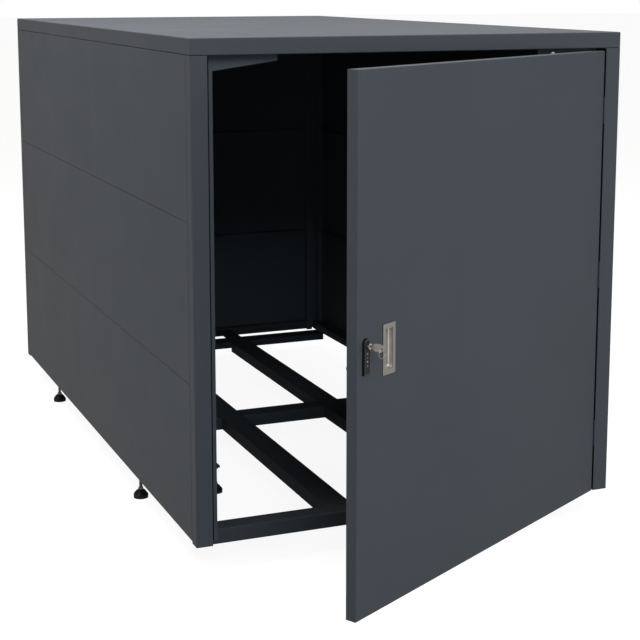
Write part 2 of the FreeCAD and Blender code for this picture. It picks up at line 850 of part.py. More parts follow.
# Dials stand on an upright spindle behind the lock's face
dial_y = door_face - size("lock_thickness") - size("dial_proud") + size("dial_flats") / 2
dial_corner = size("dial_flats") / (2 * math.cos(math.pi / DIAL_FACETS))
cavity_radius = dial_corner + size("dial_gap")
cavity_height = size("dial_height") + size("dial_gap") * 2
dial_highest = plug_z - size("dial_drop")
dial_lowest = dial_highest - size("dial_pitch") * (DIALS - 1)
housing_low = dial_lowest - cavity_height / 2 - size("housing_wall")
housing_top = dial_highest + cavity_height / 2 + size("housing_wall")

# The dish of the pull lies behind a narrower mouth in its plate
pull_x = door_x(door_width - size("pull_inset"))
mouth_left = pull_x - size("dish_opening") / 2
mouth_right = mouth_left + size("dish_opening")
dish_right = mouth_right + size("dish_undercut")
dish_low = size("pull_low") + (size("pull_height") - size("dish_height")) / 2
dish_high = dish_low + size("dish_height")


def make_door_panel():
    """Door tray with turned-in edges and cut-outs for the pull and the lock."""
    gauge = size("door_sheet")
    returned = size("door_return")
    free_x = door_x(door_width)
    near_x = door_x(length(0))
    back_y = door_face + size("door_depth")
    body = new_door_piece("door_panel")
    tray = drawing(body, "XY_Plane")
    rectangle(tray, (free_x, door_face), (near_x, back_y))
    add(body, tray, door_height)
    hollow = drawing(body, "XY_Plane", gauge)
    rectangle(hollow, (free_x + gauge, door_face + gauge), (near_x - gauge, back_y - gauge))
    cut(body, hollow, door_height - gauge * 2)
    mouth = drawing(body, "XZ_Plane", back_y - gauge)
    rectangle(mouth, (free_x + returned, returned), (near_x - returned, door_height - returned))
    cut(body, mouth, gauge)
    openings = drawing(body, "XZ_Plane", door_face)
    around = size("dish_wall") + size("cutout_gap")
    rounded_rectangle(openings, (mouth_left - around, dish_low - around),
                      (dish_right + around, dish_high + around), size("dish_corner") + around)
    arched_outline(openings, lock_x, housing_low - size("cutout_gap"), plug_z,
                   size("housing_width") / 2 + size("cutout_gap"), True)
    cut(body, openings, gauge)

    def outer_edge(edge):
        if not at_plane(edge, 1, door_face):
            return False
        on_side = at_plane(edge, 0, free_x) or at_plane(edge, 0, near_x)
        return on_side or at_plane(edge, 2, 0) or at_plane(edge, 2, door_height)

    bend(body, size("door_bend"), outer_edge)


def make_door_stiffeners():
    """Upright hat channels on the inside of the door's skin."""
    gauge = size("door_sheet")
    seat = door_face + gauge
    end_gap = gauge + size("stiffener_end_gap")
    body = new_door_piece("door_stiffeners", solids=2)
    for place in ("stiffener_near", "stiffener_far"):
        sketch = drawing(body, "XY_Plane", end_gap)
        hat_outline(sketch, door_x(size(place)), seat, size("stiffener_crown"),
                    size("stiffener_flange"), size("stiffener_depth"), gauge, 1)
        add(body, sketch, door_height - end_gap * 2)


# Heights of the hinges' middles
hinge_high = door_height - size("hinge_drop")
HINGES = (size("hinge_low"), (size("hinge_low") + hinge_high) / 2, hinge_high)
leaf_front = door_face + size("hinge_clearance")
knuckle_low = (size("hinge_height") - size("middle_knuckle")) / 2
knuckle_high = (size("hinge_height") + size("middle_knuckle")) / 2
knuckle_gap = size("hinge_clearance")


def make_hinge_leaves(body, inner, outer, other_zones):
    """Leaves with rolled knuckles about the hinge axis, relieved where the other leaf's knuckles are."""
    radius = size("knuckle_radius")
    for place in HINGES:
        low = place - size("hinge_height") / 2
        leaf = drawing(body, "XY_Plane", low)
        rectangle(leaf, (inner, length(0)), (outer, leaf_front + size("leaf_depth")))
        add(body, leaf, size("hinge_height"))
        knuckle = drawing(body, "XY_Plane", low)
        circle(knuckle, (0, 0), radius)
        add(body, knuckle, size("hinge_height"))
        for zone_low, zone_high in other_zones:
            relief = drawing(body, "XY_Plane", low + zone_low)
            rectangle(relief, (-radius - knuckle_gap, -radius - knuckle_gap),
                      (radius + knuckle_gap, leaf_front))
            cut(body, relief, zone_high - zone_low)
        bore = drawing(body, "XY_Plane", low)
        circle(bore, (0, 0), size("pin_radius") + size("pin_fit"))
        cut(body, bore, size("hinge_height"))


def make_hinges():
    frame_leaves = new_piece("hinge_frame_leaves", hinge_x, hinge_y, base, solids=len(HINGES))
    make_hinge_leaves(frame_leaves, edge_gap - size("leaf_sheet"), edge_gap,
                      [(knuckle_low - knuckle_gap, knuckle_high + knuckle_gap)])
    door_leaves = new_door_piece("hinge_door_leaves", solids=len(HINGES))
    make_hinge_leaves(door_leaves, -edge_gap, size("leaf_sheet") - edge_gap,
                      [(length(0), knuckle_low), (knuckle_high, size("hinge_height"))])
    pins = new_piece("hinge_pins", hinge_x, hinge_y, base, solids=len(HINGES))
    for place in HINGES:
        low = place - size("hinge_height") / 2
        shank = drawing(pins, "XY_Plane", low)
        circle(shank, (0, 0), size("pin_radius"))
        add(pins, shank, size("hinge_height"))
        head = drawing(pins, "XY_Plane", low + size("hinge_height"))
        circle(head, (0, 0), size("pin_head_radius"))
        add(pins, head, size("pin_head_height"))


def make_pull():
    """Flush pull: a plate on the door's face with a box-shaped dish behind it."""
    gauge = size("pull_sheet")
    wall = size("dish_wall")
    half = size("pull_width") / 2
    top = size("pull_low") + size("pull_height")
    dish_bottom = door_face + size("dish_depth")
    shell_bottom = dish_bottom + wall
    body = new_door_piece("handle_shell")
    plate = drawing(body, "XZ_Plane", door_face - gauge)
    rounded_rectangle(plate, (pull_x - half, size("pull_low")), (pull_x + half, top), size("pull_corner"))
    add(body, plate, gauge)
    shell = drawing(body, "XZ_Plane", door_face)
    rounded_rectangle(shell, (mouth_left - wall, dish_low - wall), (dish_right + wall, dish_high + wall),
                      size("dish_corner") + wall)
    add(body, shell, size("dish_depth") + wall)
    dish = drawing(body, "XZ_Plane", door_face)
    rounded_rectangle(dish, (mouth_left, dish_low), (dish_right, dish_high), size("dish_corner"))
    cut(body, dish, size("dish_depth"))
    bend(body, size("dish_bottom_round"), lambda edge: at_plane(edge, 1, dish_bottom))
    bend(body, size("dish_bottom_round") + wall, lambda edge: at_plane(edge, 1, shell_bottom))
    mouth = drawing(body, "XZ_Plane", door_face - gauge)
    rounded_rectangle(mouth, (mouth_left, dish_low), (mouth_right, dish_high), size("dish_mouth_corner"))
    cut(body, mouth, gauge)


def make_lock_body():
    """Arched lock case with four dial windows, a spindle, a rear housing and a barrel."""
    case_front = door_face - size("lock_thickness")
    half = size("lock_width") / 2
    body = new_door_piece("lock_body")
    case = drawing(body, "XZ_Plane", case_front)
    arched_outline(case, lock_x, size("lock_low"), arch_centre, half, True)
    add(body, case, size("lock_thickness"))
    bend(body, size("lock_edge_round"), lambda edge: at_plane(edge, 1, case_front))
    housing = drawing(body, "XZ_Plane", door_face)
    rear_half = size("housing_width") / 2
    rectangle(housing, (lock_x - rear_half, housing_low), (lock_x + rear_half, housing_top))
    add(body, housing, size("housing_depth"))
    barrel = drawing(body, "XZ_Plane", door_face)
    circle(barrel, (lock_x, plug_z), rear_half)
    add(body, barrel, size("barrel_length"))
    for k in range(DIALS):
        cavity_low = dial_lowest + size("dial_pitch") * k - cavity_height / 2
        cavity = drawing(body, "XY_Plane", cavity_low)
        circle(cavity, (lock_x, dial_y), cavity_radius)
        cut(body, cavity, cavity_height)
    spindle = drawing(body, "XY_Plane", housing_low)
    circle(spindle, (lock_x, dial_y), size("spindle_radius"))
    add(body, spindle, housing_top - housing_low)
    bore = drawing(body, "XZ_Plane", case_front)
    circle(bore, (lock_x, plug_z), size("plug_radius") + size("turning_fit"))
    cut(body, bore, size("lock_thickness") + size("barrel_length"))


def make_lock_nut():
    seat = door_face + size("door_sheet")
    body = new_door_piece("lock_nut")
    sketch = drawing(body, "XZ_Plane", seat)
    centre = (lock_x, plug_z)
    regular_outline(sketch, centre, size("lock_nut_flats"), 6, 0)
    circle(sketch, centre, size("housing_width") / 2 + size("turning_fit"))
    add(body, sketch, size("lock_nut_height"))


def make_dial(number):
    """Ten-sided number dial with a bore for the spindle, one flat facing forwards."""
    low = dial_lowest + size("dial_pitch") * (number - 1) - size("dial_height") / 2
    body = new_door_piece("dial_%d" % number)
    sketch = drawing(body, "XY_Plane", low)
    regular_outline(sketch, (lock_x, dial_y), size("dial_flats"), DIAL_FACETS, 180.0 / DIAL_FACETS - 90)
    circle(sketch, (lock_x, dial_y), size("spindle_radius") + size("turning_fit"))
    add(body, sketch, size("dial_height"))


# The cylinder stands out from the lock's case, and the cam turns behind the end of the barrel
collar_front = door_face - size("lock_thickness") - size("collar_height")
plug_front = collar_front + size("plug_recess")
barrel_back = door_face + size("barrel_length")
cam_front = barrel_back + size("cam_clearance")


def make_lock_collar():
    body = new_door_piece("lock_collar")
    sketch = drawing(body, "XZ_Plane", collar_front)
    centre = (lock_x, plug_z)
    circle(sketch, centre, size("collar_radius"))
    circle(sketch, centre, size("plug_radius") + size("turning_fit"))
    add(body, sketch, size("collar_height"))
    outer = size("collar_radius") * 2
    bend(body, size("plug_recess"), lambda edge: at_plane(edge, 1, collar_front)
         and abs(edge.BoundBox.XLength - outer.value) < CLOSE)


def make_lock_plug():
    """Cylinder plug with a keyway in front and a square tail for the cam."""
    centre = (lock_x, plug_z)
    half_tail = size("tail_square") / 2
    half_key = size("key_sheet") / 2 + size("keyway_gap")
    half_slot = size("blade_height") / 2 + size("keyway_gap")
    body = new_door_piece("lock_plug")
    plug = drawing(body, "XZ_Plane", plug_front)
    circle(plug, centre, size("plug_radius"))
    add(body, plug, cam_front - plug_front)
    tail = drawing(body, "XZ_Plane", cam_front)
    rectangle(tail, (centre[0] - half_tail, centre[1] - half_tail),
              (centre[0] + half_tail, centre[1] + half_tail))
    add(body, tail, size("cam_sheet") + size("tail_end"))
    keyway = drawing(body, "XZ_Plane", plug_front)
    rectangle(keyway, (centre[0] - half_key, centre[1] - half_slot),
              (centre[0] + half_key, centre[1] + half_slot))
    cut(body, keyway, size("keyway_depth"))


def make_lock_cam():
    """Flat cam on the plug's square tail, hanging straight down when the lock is open."""
    half = size("cam_width") / 2
    half_hole = size("tail_square") / 2 + size("keyway_gap")
    body = new_door_piece("lock_cam")
    plate = drawing(body, "XZ_Plane", cam_front)
    arched_outline(plate, lock_x, plug_z - size("cam_length") + half, plug_z, half, False)
    add(body, plate, size("cam_sheet"))
    hole = drawing(body, "XZ_Plane", cam_front)
    rectangle(hole, (lock_x - half_hole, plug_z - half_hole), (lock_x + half_hole, plug_z + half_hole))
    cut(body, hole, size("cam_sheet"))


def make_key():
    """Flat key: a blade with cuts along its lower edge, a neck, and a rounded bow with an eye."""
    start = lock_x - size("key_sheet") / 2
    half_blade = size("blade_height") / 2
    half_neck = size("neck_height") / 2
    half_bow = size("bow_height") / 2
    shoulder = collar_front - size("key_stand_off")
    blade_end = shoulder + size("blade_length")
    bow_start = door_face - size("bow_start")
    bow_front = door_face - size("bow_tip")
    body = new_door_piece("key")
    bow = drawing(body, "YZ_Plane", start)
    rectangle(bow, (bow_front, plug_z - half_bow), (bow_start, plug_z + half_bow))
    add(body, bow, size("key_sheet"))
    bend(body, size("bow_round"), lambda edge: runs_along(edge, 0))
    neck = drawing(body, "YZ_Plane", start)
    rectangle(neck, (bow_start - half_neck, plug_z - half_neck), (shoulder, plug_z + half_neck))
    add(body, neck, size("key_sheet"))
    blade = drawing(body, "YZ_Plane", start)
    top = plug_z + half_blade
    low = plug_z - half_blade
    corners = [(shoulder, low)]
    pitch = size("blade_length") / (len(KEY_CUTS) + 1)
    for k, share in enumerate(KEY_CUTS, start=1):
        corners.append((shoulder + pitch * (k - KEY_CUT_HALF), low))
        corners.append((shoulder + pitch * k, low + size("blade_height") * share))
        corners.append((shoulder + pitch * (k + KEY_CUT_HALF), low))
    corners += [(blade_end - size("blade_point"), low), (blade_end, plug_z), (blade_end - half_blade, top),
                (shoulder, top)]
    outline(blade, corners)
    add(body, blade, size("key_sheet"))
    eye = drawing(body, "YZ_Plane", start)
    circle(eye, (eye_y, plug_z), size("eye_radius"))
    cut(body, eye, size("key_sheet"))


def make_key_ring():
    """Split ring that hangs in the key's eye."""
    drop = size("eye_radius") - size("ring_wire") - size("ring_gap") + size("ring_radius")
    x = hinge_x + lock_x * cosine(door_angle) - eye_y * sine(door_angle)
    y = hinge_y + lock_x * sine(door_angle) + eye_y * cosine(door_angle)
    body = new_piece("key_ring", x, y, base + plug_z - drop, turn=door_angle)
    wire = drawing(body, "XY_Plane")
    circle(wire, (size("ring_radius"), 0), size("ring_wire"))
    revolve(body, wire, "Y_Axis")


# Shell of the locker
make_roof()
make_roof_ribs()
for end, inward_y, y in (("front", 1, front), ("rear", -1, back)):
    for side_name, side in (("left", -1), ("right", 1)):
        make_post("%s_post_%s" % (end, side_name), side, inward_y, y)
make_header()
for side_name, side in (("left", -1), ("right", 1)):
    make_gusset("gusset_" + side_name, side)
    make_side_rail("side_base_rail_" + side_name, side)
    make_wheel_rail("wheel_rail_" + side_name, side)
    for tier, tier_name in enumerate(PANEL_TIERS):
        make_side_panel("%s_panel_%s" % (side_name, tier_name), side, tier)
    for name, inset, place, seat, engagement in FEET:
        make_foot(name, side, inset, place, seat, engagement)
make_gusset_bolt()
for tier, tier_name in enumerate(PANEL_TIERS):
    make_back_panel("back_panel_" + tier_name, tier)

# Base frame
make_rear_rail()
make_front_sill()
make_cross_mid()
make_cross_rear()
make_frame_tabs()
make_foot_arms()
make_foot_lock_nuts()

# Door and what it carries
make_door_panel()
make_door_stiffeners()
make_hinges()
make_pull()
make_lock_body()
make_lock_nut()
for dial_number in range(1, DIALS + 1):
    make_dial(dial_number)
make_lock_collar()
make_lock_plug()
make_lock_cam()
make_key()
make_key_ring()
doc.recompute()

# Every object has to be sound, and every cut has to take material away
faults = [item.Label for item in doc.Objects if "Invalid" in item.State or "Error" in item.State]
for pocket in cuts:
    if pocket.Shape.isNull() or pocket.Shape.Volume > pocket.BaseFeature.Shape.Volume - CLOSE:
        faults.append(pocket.Label + " cuts nothing")
for body, solids in pieces:
    if body.Shape.isNull() or not body.Shape.isValid() or len(body.Shape.Solids) != solids:
        faults.append(body.Label + " is not sound")
if faults:
    raise ValueError("faulty objects: " + ", ".join(faults))
for body, solids in pieces:
    body.Shape.exportStep("parts/" + body.Label + ".step")
print(len(pieces), "sub-parts written")
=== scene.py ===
import json
import math

import bmesh
import bpy
from mathutils import Matrix, Vector


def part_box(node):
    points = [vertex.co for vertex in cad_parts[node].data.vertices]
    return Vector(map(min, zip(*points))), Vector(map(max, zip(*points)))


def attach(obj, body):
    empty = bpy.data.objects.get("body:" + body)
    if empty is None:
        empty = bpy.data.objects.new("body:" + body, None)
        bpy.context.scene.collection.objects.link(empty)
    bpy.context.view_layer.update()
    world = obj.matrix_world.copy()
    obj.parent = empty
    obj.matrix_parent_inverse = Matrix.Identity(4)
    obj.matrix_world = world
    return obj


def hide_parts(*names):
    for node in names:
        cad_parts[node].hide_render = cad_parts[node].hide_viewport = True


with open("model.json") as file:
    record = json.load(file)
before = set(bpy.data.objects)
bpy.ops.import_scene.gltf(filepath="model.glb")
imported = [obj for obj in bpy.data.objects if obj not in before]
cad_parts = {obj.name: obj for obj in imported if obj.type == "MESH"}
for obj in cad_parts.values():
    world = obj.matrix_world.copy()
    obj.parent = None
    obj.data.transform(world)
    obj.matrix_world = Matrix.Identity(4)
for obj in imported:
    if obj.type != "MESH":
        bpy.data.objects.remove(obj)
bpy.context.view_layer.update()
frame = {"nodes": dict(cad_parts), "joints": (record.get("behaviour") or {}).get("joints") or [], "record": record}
nodes = frame["nodes"]

MM = 0.001

# Lines of the locker in the row frame, in metres
roof_low, roof_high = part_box("roof_panel")
LEFT = roof_low.x
RIGHT = roof_high.x
FRONT = roof_low.y
BACK = roof_high.y
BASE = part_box("front_post_left")[0].z
joints = {joint["name"]: joint for joint in frame["joints"]}
hinge_joint = joints["door_hinge"]
OPEN_ANGLE = math.radians(-hinge_joint["range_deg"][0])
HINGE = Vector((hinge_joint["pos_m"][0], hinge_joint["pos_m"][1], BASE))

# The door's frame stands on the hinge axis, with the door running to -X. Its points are in
# millimetres, and so are the sizes of the solids below.
DOOR = Matrix.Translation(HINGE) @ Matrix.Rotation(OPEN_ANGLE, 4, "Z")
DOOR_TURN = DOOR.to_3x3()
lock_point = DOOR.inverted() @ Vector(joints["lock_turn"]["pos_m"]) / MM
DOOR_FACE = lock_point.y
LOCK_X = lock_point.x
PLUG_Z = lock_point.z
LOCK_THICKNESS = 6.0
LOCK_FRONT = DOOR_FACE - LOCK_THICKNESS
LOCK_LOW = 560.5
LOCK_HEIGHT = 81.0
LOCK_HALF = 11.0
PULL_X = -989.5
PULL_LOW = 544.0
PULL_HEIGHT = 116.0
PULL_HALF = 23.5
PULL_CORNER = 2.0
DIAL_FACETS = 10
DIAL_FLAT = 7.5
POST_FACE = 44.0
POST_REVEAL = 30.0


def in_door(x, y, z):
    """A point of the door's frame, given in millimetres, in the row frame."""
    return DOOR @ Vector((x * MM, y * MM, z * MM))


def on_door(centre, turn):
    """A place at a point of the row frame that is turned with the door, and then by turn."""
    return Matrix.Translation(centre) @ DOOR_TURN.to_4x4() @ turn


def metres(points):
    """Points given in millimetres, in metres."""
    return [tuple(value * MM for value in point) for point in points]


# Materials


class Paint:
    """A node material with the few helpers that the recipes below share."""

    def __init__(self, name):
        self.material = bpy.data.materials.new(name)
        self.material.use_nodes = True
        self.tree = self.material.node_tree
        self.tree.nodes.clear()
        self.shader = self.node("ShaderNodeBsdfPrincipled")
        output = self.node("ShaderNodeOutputMaterial")
        self.link(self.shader.outputs["BSDF"], output.inputs["Surface"])
        coordinates = self.node("ShaderNodeTexCoord")
        self.place = coordinates.outputs["Object"]

    def node(self, kind, **settings):
        made = self.tree.nodes.new(kind)
        for name, value in settings.items():
            setattr(made, name, value)
        return made

    def link(self, source, target):
        self.tree.links.new(source, target)

    def stretched(self, scale):
        mapping = self.node("ShaderNodeMapping")
        mapping.inputs["Scale"].default_value = scale
        self.link(self.place, mapping.inputs["Vector"])
        return mapping.outputs["Vector"]

    def noise(self, scale, detail=2.0, roughness=0.5, place=None):
        made = self.node("ShaderNodeTexNoise")
        made.inputs["Scale"].default_value = scale
        made.inputs["Detail"].default_value = detail
        made.inputs["Roughness"].default_value = roughness
        self.link(place or self.place, made.inputs["Vector"])
        return made.outputs["Fac"]

    def cells(self, scale):
        made = self.node("ShaderNodeTexVoronoi")
        made.inputs["Scale"].default_value = scale
        self.link(self.place, made.inputs["Vector"])
        return made.outputs["Distance"]

    def mapped(self, source, low, high, start=0.0, end=1.0):
        made = self.node("ShaderNodeMapRange")
        made.inputs["From Min"].default_value = low
        made.inputs["From Max"].default_value = high
        made.inputs["To Min"].default_value = start
        made.inputs["To Max"].default_value = end
        self.link(source, made.inputs["Value"])
        return made.outputs["Result"]

    def spread(self, noise, start=0.0, end=1.0):
        """Stretches a noise, which mostly lies between 0.3 and 0.7, over a whole range."""
        return self.mapped(noise, 0.3, 0.7, start, end)

    def mixed(self, factor, first, second, blend="MIX"):
        made = self.node("ShaderNodeMix", data_type="RGBA", blend_type=blend)
        if isinstance(factor, float):
            made.inputs[0].default_value = factor
        else:
            self.link(factor, made.inputs[0])
        for socket, value in ((made.inputs[6], first), (made.inputs[7], second)):
            if isinstance(value, tuple):
                socket.default_value = (*value, 1.0)
            else:
                self.link(value, socket)
        return made.outputs[2]

    def overlaid(self, share, colour, pattern, dark, pale):
        """Lays a grey pattern over a colour, so that it darkens and lightens it a little."""
        grey = self.mixed(pattern, (dark, dark, dark), (pale, pale, pale))
        return self.mixed(share, colour, grey, "OVERLAY")

    def bumped(self, layers):
        """Chains bump nodes: each layer is a height, a strength and a depth in metres."""
        normal = None
        for height, strength, depth in layers:
            bump = self.node("ShaderNodeBump")
            bump.inputs["Strength"].default_value = strength
            bump.inputs["Distance"].default_value = depth
            self.link(height, bump.inputs["Height"])
            if normal is not None:
                self.link(normal, bump.inputs["Normal"])
            normal = bump.outputs["Normal"]
        self.link(normal, self.shader.inputs["Normal"])

    def set(self, **values):
        for name, value in values.items():
            self.shader.inputs[name.replace("_", " ")].default_value = value

    def to(self, name, source):
        self.link(source, self.shader.inputs[name])


def shade(colour, factor):
    return tuple(channel * factor for channel in colour)


def powder_coat(name, colour, rough=(0.52, 0.56), specular=0.03):
    """Fine-textured powder coat: mottled tone, fine grain and a shallow orange peel."""
    paint = Paint(name)
    broad = paint.spread(paint.noise(2.4, detail=3.0))
    grain = paint.spread(paint.noise(900.0))
    tone = paint.mixed(broad, shade(colour, 0.97), shade(colour, 1.03))
    paint.to("Base Color", paint.overlaid(0.14, tone, grain, 0.35, 0.65))
    paint.to("Roughness", paint.spread(paint.noise(7.0, detail=4.0, roughness=0.6), *rough))
    paint.set(Specular_IOR_Level=specular)
    orange_peel = paint.noise(230.0, detail=1.0)
    texture = paint.noise(1500.0)
    paint.bumped([(orange_peel, 0.18, 0.0004), (texture, 0.3, 0.0002)])
    return paint.material


def dish_share(paint):
    """Mask of the dish's painted highlight: 0 on the pull's rim, 1 inside its dish, by the depth behind the door's
    face.
    """
    inward = DOOR_TURN @ Vector((0, 1, 0))
    across = paint.node("ShaderNodeVectorMath", operation="DOT_PRODUCT")
    across.inputs[1].default_value = inward
    paint.link(paint.place, across.inputs[0])
    rim = in_door(0, DOOR_FACE, 0).dot(inward)
    return paint.mapped(across.outputs["Value"], rim - 0.2 * MM, rim + 0.6 * MM)


def brushed_metal(name, colour, dish, stretch, rough):
    """Metal brushed along one direction, with faint smudges and a painted highlight in the pressed dish."""
    paint = Paint(name)
    streaks = paint.noise(1.0, detail=4.0, roughness=0.7, place=paint.stretched(stretch))
    smudge = paint.mapped(paint.noise(45.0, detail=3.0), 0.35, 0.65, 0.0, 0.25)
    # The dish takes the paler colour, a painted highlight for the light that falls into it
    dish_highlighted_tone = paint.mixed(dish_share(paint), colour, dish)
    worn = paint.mixed(smudge, dish_highlighted_tone, shade(colour, 0.8))
    paint.to("Base Color", paint.overlaid(0.3, worn, streaks, 0.2, 0.8))
    paint.to("Roughness", paint.mapped(streaks, 0.25, 0.75, *rough))
    paint.set(Metallic=1.0, Anisotropic=0.35)
    paint.bumped([(streaks, 0.12, 0.0001)])
    return paint.material


def plated_metal(name, colour, rough, cell=700.0):
    """Zinc or nickel plate: a fine crystalline tone with slightly uneven gloss."""
    paint = Paint(name)
    crystals = paint.mapped(paint.cells(cell), 0.0, 0.8)
    paint.to("Base Color", paint.mixed(crystals, shade(colour, 0.88), shade(colour, 1.08)))
    paint.to("Roughness", paint.spread(paint.noise(120.0, detail=3.0, roughness=0.6), *rough))
    paint.set(Metallic=1.0)
    paint.bumped([(paint.noise(900.0), 0.1, 0.0001)])
    return paint.material


def moulded(name, colour, rough, grain=1100.0, specular=0.4):
    """Moulded plastic, rubber or a cast black finish, with a fine grain."""
    paint = Paint(name)
    tone = paint.spread(paint.noise(60.0, detail=3.0))
    paint.to("Base Color", paint.mixed(tone, shade(colour, 0.8), shade(colour, 1.25)))
    paint.to("Roughness", paint.spread(paint.noise(220.0, detail=3.0), *rough))
    paint.set(Specular_IOR_Level=specular)
    paint.bumped([(paint.cells(grain), 0.22, 0.0002)])
    return paint.material


ANTHRACITE = (0.057, 0.0635, 0.073)
BRUSHED_UPRIGHT = (2600.0, 2600.0, 40.0)
MATERIALS = {
    "powder_coat": powder_coat("powder_coat", ANTHRACITE),
    # The base frame wears a darker copy of the same anthracite coat: painted shade for the shade under the locker
    "powder_coat_frame": powder_coat("powder_coat_frame", shade(ANTHRACITE, 0.75),
                                     rough=(0.6, 0.66), specular=0.01),
    "zinc_steel": plated_metal("zinc_steel", (0.58, 0.58, 0.56), rough=(0.22, 0.36)),
    # The pull's rim is dark brushed steel; its dish is painted much paler, a painted highlight for the light
    # falling into the dish
    "stainless_steel": brushed_metal("stainless_steel", (0.170, 0.160, 0.148),
                                     dish=(0.49, 0.455, 0.42), stretch=BRUSHED_UPRIGHT,
                                     rough=(0.42, 0.56)),
    "lock_black": moulded("lock_black", (0.006, 0.006, 0.0065), rough=(0.45, 0.6), specular=0.12),
    "lock_chrome": plated_metal("lock_chrome", (0.52, 0.50, 0.46), rough=(0.14, 0.24), cell=1500.0),
    "lock_nickel": plated_metal("lock_nickel", (0.46, 0.43, 0.38), rough=(0.2, 0.34), cell=1300.0),
    "dial_black": moulded("dial_black", (0.010, 0.010, 0.010), rough=(0.4, 0.5), specular=0.15),
    "key_nickel": plated_metal("key_nickel", (0.22, 0.20, 0.175), rough=(0.24, 0.36), cell=420.0),
    "foot_black": moulded("foot_black", (0.006, 0.006, 0.006), rough=(0.5, 0.62), grain=900.0,
                          specular=0.12),
}

# Finishes that only the pieces of this script wear
# The lock's raised rim is painted paler than the lock: a painted highlight along the rim
lock_rim_highlight = moulded("lock_rim_highlight", (0.022, 0.022, 0.023), rough=(0.3, 0.4))
# Dead-black rubber for the strips and cords that fill seams and gaps: painted shade, standing in for the shade in
# them
shade_strip_rubber = moulded("shade_strip_rubber", (0.005, 0.005, 0.005), rough=(0.85, 1.0), grain=900.0,
                      specular=0.0)
black_zinc = plated_metal("black_zinc", (0.085, 0.085, 0.085), rough=(0.3, 0.45))
pale_print = moulded("pale_print", (0.36, 0.36, 0.32), rough=(0.5, 0.6), grain=2000.0,
                     specular=0.3)


def dress(obj, material):
    obj.data.materials.clear()
    obj.data.materials.append(material)


def soften(obj, width, segments=2, angle=38.0):
    """Takes the sharpness off an object's edges; width is in millimetres."""
    bevel = obj.modifiers.new("edge_round", "BEVEL")
    bevel.width = width * MM
    bevel.segments = segments
    bevel.limit_method = "ANGLE"
    bevel.angle_limit = math.radians(angle)


slot_of = {part["node"]: part["material_slot"] for part in frame["record"]["subparts"]}
for name, node in nodes.items():
    dress(node, MATERIALS[slot_of[name]])

# Helpers that make meshes


def mesh_object(name, mesh_maker, material, body, smooth_angle=35.0):
    """Makes a named object from a bmesh that a function fills, and rides it on a body."""
    mesh = bpy.data.meshes.new(name)
    shape = bmesh.new()
    mesh_maker(shape)
    bmesh.ops.recalc_face_normals(shape, faces=shape.faces)
    shape.to_mesh(mesh)
    shape.free()
    obj = bpy.data.objects.new(name, mesh)
    bpy.context.scene.collection.objects.link(obj)
    mesh.materials.append(material)
    for polygon in mesh.polygons:
        polygon.use_smooth = True
    mesh.set_sharp_from_angle(angle=math.radians(smooth_angle))
    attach(obj, body)
    return obj


def node_middle(name):
    low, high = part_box(name)
    return (low + high) / 2


def turns(count):
    """The angles of equal steps round a full turn."""
    return [2 * math.pi * k / count for k in range(count)]


def bridge(shape, rows):
    """Joins each row of vertices to the next with quads; a row closes on itself."""
    for low, high in zip(rows, rows[1:]):
        for k in range(len(low)):
            following = (k + 1) % len(low)
            shape.faces.new((low[k], low[following], high[following], high[k]))


def capped(shape, rows):
    """Joins rows of vertices and closes both ends."""
    bridge(shape, rows)
    shape.faces.new(list(reversed(rows[0])))
    shape.faces.new(rows[-1])


def lathe(shape, profile, place, segments=48):
    """Adds a turned form; profile is a list of (radius, height) about the local Z of place.

    A radius of 0 is a pole, which closes the form.
    """
    rows = []
    for radius, height in profile:
        steps = turns(segments) if radius else [0.0]
        rows.append([shape.verts.new(place @ Vector((radius * math.cos(turn),
                                                     radius * math.sin(turn), height)))
                     for turn in steps])
    for low, high in zip(rows, rows[1:]):
        if len(low) == len(high):
            bridge(shape, (low, high))
            continue
        for k in range(segments):
            following = (k + 1) % segments
            if len(low) == 1:
                shape.faces.new((low[0], high[following], high[k]))
            else:
                shape.faces.new((low[k], low[following], high[0]))


# A thread's outline along one pitch: the share of the pitch, and the share of the full depth
THREAD_OUTLINE = ((0.0, 1.0), (0.18, 1.0), (0.44, 0.0), (0.56, 0.0), (0.82, 1.0))


def threaded_rod(shape, place, start, end, radius, pitch, depth, segments):
    """Adds a helical thread between two heights along the local Z of place."""
    steps = int((end - start) / pitch * segments)
    columns = []
    for k in range(steps + 1 + segments):
        turn = 2 * math.pi * (k % segments) / segments
        foot_height = start + pitch * (k - segments) / segments
        column = []
        for share, inset in THREAD_OUTLINE:
            height = min(max(foot_height + pitch * share, start), end)
            reach = radius - depth * inset
            point = Vector((reach * math.cos(turn), reach * math.sin(turn), height))
            column.append(shape.verts.new(place @ point))
        columns.append(column)
    last = len(THREAD_OUTLINE) - 1
    for near, far in zip(columns, columns[1:]):
        for a in range(last):
            shape.faces.new((near[a], far[a], far[a + 1], near[a + 1]))
    for k in range(len(columns) - segments - 1):
        upper = k + segments
        shape.faces.new((columns[k][last], columns[k + 1][last],
                         columns[upper + 1][0], columns[upper][0]))


def hex_collar(shape, place, flats, low, high, chamfer):
    """Adds a hexagon with chamfered ends between two heights along the local Z of place."""
    corner = flats / 2 / math.cos(math.pi / 6)
    lathe(shape, [(0.0, low), (corner - chamfer, low), (corner, low + chamfer),
                  (corner, high - chamfer), (corner - chamfer, high), (0.0, high)], place, 6)


def arch_points(middle, low, top_centre, radius, steps=20):
    """Points of an upright outline with a flat foot and a half-round top, anticlockwise."""
    points = [(middle - radius, low), (middle + radius, low)]
    for k in range(steps + 1):
        turn = math.pi * k / steps
        points.append((middle + radius * math.cos(turn), top_centre + radius * math.sin(turn)))
    return points


